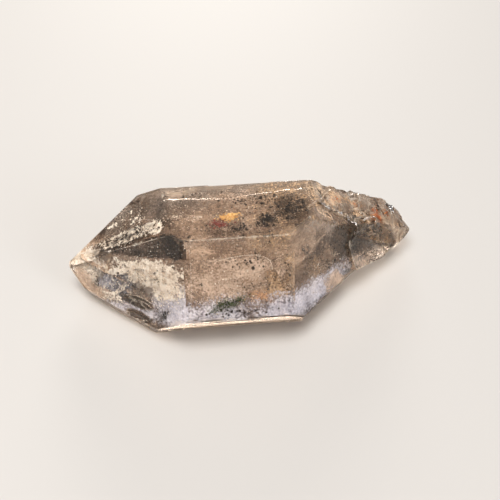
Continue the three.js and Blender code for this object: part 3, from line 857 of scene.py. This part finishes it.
def make_sheet(name, finish, origin, along, across, reach, thick, margin=0.25, step=0.3, wave=0.12, seed=5):
    """place(s, v) = origin + s along + t(v) across + wave * noise * out, with t(v) from wall to wall."""
    s = np.linspace(reach[0], reach[1], int((reach[1] - reach[0]) / step) + 2)
    starts = origin + s[:, None] * along
    low, high = room(starts, across, margin)
    v = np.linspace(0, 1, int((high - low).max() / step) + 2)
    t = low[:, None] + (high - low)[:, None] * v
    out = np.cross(along, across)
    points = starts[:, None] + t[..., None] * across
    points += (wave * smooth_noise(points.reshape(-1, 3), 5.0, seed).reshape(t.shape))[..., None] * out
    thickness = (thick(s[:, None] + 0 * t, t) * (high - low > 0.1)[:, None]).ravel()
    points = points.reshape(-1, 3)
    within = inside_stone(points, SHEET_MARGIN)
    number = np.arange(t.size).reshape(t.shape)
    quads = np.stack([number[:-1, :-1], number[1:, :-1], number[1:, 1:], number[:-1, 1:]], axis=-1)
    quads = quads.reshape(-1, 4)
    quads = quads[(thickness[quads].max(axis=1) > THINNEST) & within[quads].all(axis=1)]
    used, quads = np.unique(quads, return_inverse=True)
    mesh = bpy.data.meshes.new(name)
    mesh.from_pydata(((points[used] + AXIS_AT) * MM).tolist(), [], quads.reshape(-1, 4).tolist())
    values = thickness[used].astype(np.float32)
    mesh.attributes.new("thickness", "FLOAT", "POINT").data.foreach_set("value", values)
    mesh.polygons.foreach_set("use_smooth", np.ones(len(mesh.polygons), bool))
    finish_piece(name, mesh, None, veils[finish])


def under_face(name, finish, face, deep, reach, *ovals, limit=None, **settings):
    """A sheet that lies a depth under a face and along it, with its milk in ovals."""
    make_sheet(name, finish, face["out"] * (face["reach"] - deep), face["along"], face["across"], reach,
               zones(*ovals, limit=limit), **settings)


# %% [markdown]
# All veils share one way of showing: noise of two sizes is compared with a level that sinks where the milk
# is thick, so a thin place shows only flecks and a thick one closes up. That is a node group, because the
# veils differ only in tone, in the size of their flecks and in how sharp these are. Alpha and not mist
# carries it, because a veil is a skin with holes.

# %% The veils' finish


def make_cover_group():
    """A node group: where a veil shows, and how light it is there, from its thickness and noise of two
    sizes, sharp or soft."""
    group = bpy.data.node_groups.new("veil cover", "ShaderNodeTree")
    for name in ("Thickness", "Size", "Grain", "Fineness", "Softness", "Strength"):
        group.interface.new_socket(name, in_out="INPUT", socket_type="NodeSocketFloat")
    for name in ("Cover", "Tone"):
        group.interface.new_socket(name, in_out="OUTPUT", socket_type="NodeSocketFloat")
    inputs = group.nodes.new("NodeGroupInput").outputs
    here = add_node(group, "ShaderNodeTexCoord").outputs["Object"]
    coarse = noise(group, here, inputs["Size"], 5.0, 0.62)
    fine = noise(group, here, inputs["Grain"], 2.0, 0.6)
    both = add_node(group, "ShaderNodeMix", i0=inputs["Fineness"], i2=coarse, i3=fine).outputs[0]
    level = add_node(group, "ShaderNodeMapRange", Value=inputs["Thickness"], To_Min=0.80, To_Max=0.20)
    low, high = (add_node(group, "ShaderNodeMath", {"operation": way}, i0=level.outputs[0],
                          i1=inputs["Softness"]).outputs[0] for way in ("SUBTRACT", "ADD"))
    shown = add_node(group, "ShaderNodeMapRange", Value=both, From_Min=low, From_Max=high)
    cover = maths(group, "MULTIPLY", shown.outputs[0], inputs["Strength"])
    leave = group.nodes.new("NodeGroupOutput")
    group.links.new(cover, leave.inputs["Cover"])
    group.links.new(between(group, both, 0.40, 0.60), leave.inputs["Tone"])
    return group


cover_group = make_cover_group()


def make_veil_material(name, dark, light, size, grain, fineness, softness, strength):
    """A milky, stained or painted-shade sheet whose cover and lightness come from the veil cover group."""
    material, tree, shader, _ = make_material(name)
    thickness = add_node(tree, "ShaderNodeAttribute", {"attribute_name": "thickness"}).outputs["Fac"]
    veil = add_node(tree, "ShaderNodeGroup", {"node_tree": cover_group}, Thickness=thickness, Size=size,
                    Grain=grain, Fineness=fineness, Softness=softness, Strength=strength)
    tree.links.new(veil.outputs["Cover"], shader.inputs["Alpha"])
    mixed = blend_colours(tree, veil.outputs["Tone"], (*dark, 1), (*light, 1))
    tree.links.new(mixed, shader.inputs["Base Color"])
    shader.inputs["Roughness"].default_value = 0.6
    shader.inputs["Specular IOR Level"].default_value = 0.1
    return material


VEIL_FINISHES = {  # dark, light, size, grain, fineness, softness, strength
    "deep haze": ((0.36, 0.26, 0.19), (0.80, 0.65, 0.53), 210.0, 1900.0, 0.4, 0.18, 0.8),
    "beige veil": ((0.46, 0.35, 0.27), (0.94, 0.78, 0.66), 380.0, 3400.0, 0.5, 0.15, 0.8),
    "sand veil": ((0.26, 0.175, 0.105), (0.76, 0.57, 0.39), 420.0, 3400.0, 0.5, 0.12, 0.8),
    "knob crust": ((0.24, 0.16, 0.10), (1.0, 0.82, 0.64), 520.0, 3400.0, 0.45, 0.06, 0.9),
    "blue-white veil": ((0.46, 0.46, 0.55), (0.92, 0.92, 1.0), 420.0, 3200.0, 0.5, 0.13, 0.9),
    "cream crust": ((0.54, 0.45, 0.37), (1.0, 0.96, 0.89), 900.0, 3400.0, 0.5, 0.03, 1.0),
    "tip crust": ((0.72, 0.62, 0.51), (1.0, 0.98, 0.94), 900.0, 3400.0, 0.5, 0.06, 1.0),
    "upper crust": ((0.50, 0.41, 0.33), (1.0, 0.96, 0.88), 1300.0, 3000.0, 0.4, 0.015, 1.0),
    # painted shade: near-black sheets that darken the point, the chip, the pocket, the right end and the
    # knob's hollow
    "painted shade veil": ((0.014, 0.009, 0.006), (0.14, 0.095, 0.062), 300.0, 3000.0, 0.5, 0.10, 0.85),
    "painted point shade": ((0.006, 0.004, 0.003), (0.20, 0.145, 0.11), 420.0, 3300.0, 0.6, 0.08, 0.95),
    # painted shade: a grey-blue sheet that darkens the windows in the point's crust
    "painted window shade": ((0.14, 0.145, 0.18), (0.52, 0.53, 0.61), 500.0, 2600.0, 0.5, 0.06, 0.9),
    "rusty veil": ((0.34, 0.18, 0.10), (0.80, 0.54, 0.35), 600.0, 3400.0, 0.5, 0.12, 0.8),
}
veils = {name: make_veil_material(name, *row) for name, row in VEIL_FINISHES.items()}
print(len(veils), "veil finishes")

# %% [markdown]
# Now each veil is hung at its depth, with its milk in a few ovals: how thick, where, how long and wide. A
# negative oval thins what is there. Two straight borders cross the front faces, where one growth sector
# ends and the next begins. Where a chip or a pocket shows dark, the crusts get a hole and a sheet of
# painted shade lies under it.

# %% Hang the veils
X, Y, Z = np.eye(3)


def below_border(a, b):
    """Under the straight border that crosses the pointed end's front face: painted shade above it, crusted
    below.
    """
    return b < 0.54 + 0.06 * (a + 17.3)


def above_border(a, b):
    """The other side of that border."""
    return ~below_border(a, b)


def below_step(a, b):
    """Under the straight border that runs on over the front face, and fades past its middle."""
    return b < 1.15 + 1.5 * (a > -1.5)


make_sheet("haze_low", "deep haze", Z * -3.0, X, Y, (-19, 17), zones((0.75, -1, -1, 19, 9)), 0.5,
           wave=0.8, seed=6)
make_sheet("haze_tip", "deep haze", Z * -1.7, X, Y, (-24.6, -14), zones((0.9, -22, 0, 5, 6)),
           wave=0.2, seed=9)
make_sheet("haze_high", "deep haze", Z * 3.2, X, Y, (-12, 10), zones((0.6, 0, -1, 13, 7)), 0.5,
           wave=0.8, seed=7)

# %% Veils under the long faces
under_face("haze_upper", "beige veil", prism[0], 1.1, (-14, 3),
           (0.30, -4, 1.5, 8.5, 6.5, 0, 0.4), (0.34, -1.4, 3.2, 3.4, 2.0), (0.38, -10.0, 4.4, 5, 1.4),
           margin=0.1, seed=2)
under_face("haze_upper_right", "sand veil", prism[0], 1.1, (-4, 9),
           (0.46, 5.0, 1.5, 7.0, 6.5, 0, 0.4), (0.40, 0.6, -1.6, 3.0, 1.6), margin=0.1, seed=24)
under_face("haze_middle", "beige veil", prism[1], 0.9, (-12, 8),
           (0.86, -4.4, -1.8, 8.0, 3.6, 0, 0.6), (0.72, -1.0, -2.0, 4, 4, 0, 0.6),
           limit=below_step, seed=4)
under_face("haze_middle_right", "sand veil", prism[1], 0.9, (-3, 8),
           (0.74, 3.4, -2.4, 3.6, 4.4, 0, 0.6), (0.50, 2.0, 3.0, 4.0, 2.0, 0, 0.6), seed=25)
under_face("rust_front", "rusty veil", prism[1], 0.4, (-4, 3),
           (0.62, -0.6, -4.5, 2.0, 1.0, 0, 0.5), (0.5, 1.2, -5.2, 1.0, 0.6), margin=0.1, seed=26)
under_face("haze_front", "blue-white veil", prism[1], 0.45, (-16, 9),
           (0.70, -6, -6.6, 7.0, 2.4, 0, 0.7), (0.92, 3.5, -7.4, 4.4, 2.8, 0, 0.6), margin=0.08, seed=8)

# %% Veils under the right end's front face
under_face("haze_right", "sand veil", rough[1], 0.9, (-3, 12),
           (0.26, 1.0, 1.5, 3.6, 4.0, 0, 0.6), (0.46, 5.5, -2.4, 6.0, 1.9, -12, 0.6), seed=12)
under_face("haze_corner", "blue-white veil", rough[1], 0.3, (-3, 20),
           (0.86, 0.5, -6.4, 4.0, 2.6, 20, 0.7), (0.90, 5.0, -5.4, 6.5, 1.9, 18, 0.6), margin=0.06, seed=13)
under_face("rim_right", "beige veil", rough[1], 0.25, (4, 20),
           (0.80, 9.0, -4.6, 5.0, 1.5, 17, 0.6), (0.6, 15.0, -3.4, 4.0, 1.0, 12, 0.6), margin=0.06, seed=27)

# %% Veils and crusts of the pointed end
# the chip and the pocket show dark: the crusts get holes there, over a sheet of painted shade
CHIP = (-11.3, -5.6, 2.4, 0.75, -14, 0.25)  # where the ribbed chip lies
POCKET = (-11.0, -7.7, 1.9, 0.6, -14, 0.3)  # the black pocket under it
# holes in the crust, darkened by a sheet of painted shade under them
WINDOWS = [(-0.7, -13.6, -2.7, 1.1, 0.55, 30, 0.25), (-0.7, -15.3, -4.2, 1.2, 0.5, 20, 0.25),
           (-0.6, -12.0, -3.7, 1.0, 0.45, 30, 0.25), (-0.6, -16.6, -2.9, 0.8, 0.4, 40, 0.25)]
under_face("haze_point", "blue-white veil", point[1], 0.45, (-20, -3),
           (0.86, -5.3, -5.6, 3.4, 3.4, 0, 0.6), (0.70, -12, -7.2, 6, 1.6, 0, 0.5),
           (-0.9, *POCKET), (-0.9, *CHIP), margin=0.08, seed=14)
under_face("crust_tip", "tip crust", point[1], 0.85, (-25, -15),
           (0.72, -20.6, -1.4, 3.8, 4.2, 0, 0.4), (0.98, -19.2, -1.3, 0.9, 1.6, 0, 0.4), margin=0.1, seed=15)
under_face("crust_tip_upper", "tip crust", point[0], 0.7, (-25, -17),
           (0.72, -21.0, 1.5, 3.4, 4.0, 0, 0.4), margin=0.1, seed=16)
under_face("rim_point", "beige veil", point[1], 0.6, (-23, -5),
           (0.92, -20.0, -3.8, 2.2, 1.1, -45, 0.4), (0.92, -17.2, -5.3, 2.8, 1.0, -14, 0.4),
           (0.80, -12.0, -7.5, 4.2, 0.9, -15, 0.4), (-0.9, *CHIP), (-0.9, *POCKET),
           margin=0.05, wave=0.03, seed=28)
under_face("crust_lower", "cream crust", point[1], 0.3, (-20, -3),
           (0.76, -8.6, -1.2, 6.0, 2.3, 2, 0.5), (0.62, -6.2, -3.0, 3.6, 2.4, 0, 0.5),
           (0.54, -13.6, -1.2, 4.0, 2.0, 0, 0.5), (0.54, -14.5, -4.6, 4.5, 2.2, 25, 0.5),
           *WINDOWS, (-0.9, *CHIP), limit=below_border, wave=0.05, step=0.2)
under_face("crust_upper", "upper crust", point[0], 0.3, (-20, -4),
           (0.60, -11.8, 0.7, 6.6, 1.3, -13, 0.3), (0.40, -11.5, 3.6, 6, 2.0, -20, 0.5),
           (0.54, -7.0, -0.9, 1.8, 1.6, -20, 0.4), wave=0.05, step=0.2)
# painted shade: the grey-blue sheet under the crust's windows
under_face("painted_window_shade", "painted window shade", point[1], 0.7, (-19, -7),
           (0.9, -14.6, -3.4, 3.4, 1.9, 28, 0.4), seed=17)
# painted shade: near-black sheets under the point's upper part, its chip and pocket, and its upper face
under_face("painted_shade_point", "painted point shade", point[1], 0.5, (-19, -3),
           (0.86, -10.0, 3.2, 9.0, 4.0, 0, 0.3), limit=above_border)
under_face("painted_shade_chip", "painted shade veil", point[1], 0.5, (-16, -7),
           (1.0, *CHIP), (0.9, *POCKET), margin=0.06, step=0.16, wave=0.03, seed=20)
under_face("painted_shade_upper", "painted shade veil", point[0], 0.7, (-19, -3),
           (0.50, -10.5, 4.0, 6.0, 3.2, 0, 0.6), (0.85, -11.8, 0.6, 7.4, 1.5, -13, 0.3), seed=21)

# %% Veils under the knob, and the sheets of painted shade
# holes in the knob's crust, here and beside it, show the sheet of painted shade under the knob
DARK_HOLLOW = (-0.8, 11.9, 2.6, 1.7, 1.4)  # the dark round place in the middle of the knob
under_face("crust_knob", "knob crust", knob, 1.5, (1, 25),
           (0.50, 9, 3.5, 8.5, 5.5, 0, 0.3), (0.80, 10.6, 6.4, 1.9, 1.2), (0.74, 7.0, 2.4, 2.6, 1.8),
           (0.44, 20.2, 6.6, 3.0, 2.4), (0.40, 16.2, 1.6, 2.4, 1.6), DARK_HOLLOW,
           (-0.6, 9.2, -0.3, 2.2, 1.0), (-0.5, 14.7, 7.1, 1.2, 0.8), wave=0.2, step=0.25)
under_face("sand_knob", "sand veil", knob, 1.9, (8, 24),
           (0.46, 16.5, 3.0, 6.0, 5.0, 0, 0.4), DARK_HOLLOW, wave=0.2, step=0.25, seed=29)
under_face("rust_knob", "rusty veil", knob, 1.3, (2, 22),
           (0.44, 9.5, 5.2, 3.6, 1.4, 20, 0.5), (0.60, 16.3, 5.7, 0.9, 1.6, 0, 0.4),
           (0.42, 13.5, 6.8, 2.0, 1.0), wave=0.2, step=0.25, seed=18)
# painted shade: near-black sheets under the right end's front face, the top face and the knob
under_face("painted_shade_right", "painted shade veil", rough[1], 0.7, (4, 19),
           (0.92, 11.4, 0.4, 5.0, 2.6, -10, 0.6), (0.6, 16.0, -1.6, 3.0, 1.6, -10, 0.6),
           (0.5, 4.2, 1.2, 4.6, 2.8), seed=19)
under_face("painted_shade_top", "painted shade veil", prism[0], 1.0, (-14, 9),
           (0.56, 5.4, 0.4, 3.4, 4.4, 0, 0.5), (0.44, -5.0, -4.0, 4.6, 1.3), (0.34, -10.5, 0.0, 3.0, 4.0),
           seed=22)
under_face("painted_shade_knob", "painted shade veil", knob, 2.2, (4, 24),
           (0.90, 11.9, 2.6, 2.2, 1.8), (0.70, 9.4, -0.4, 3.0, 1.4), (0.80, 17.5, 3.0, 5.0, 4.0), seed=23)
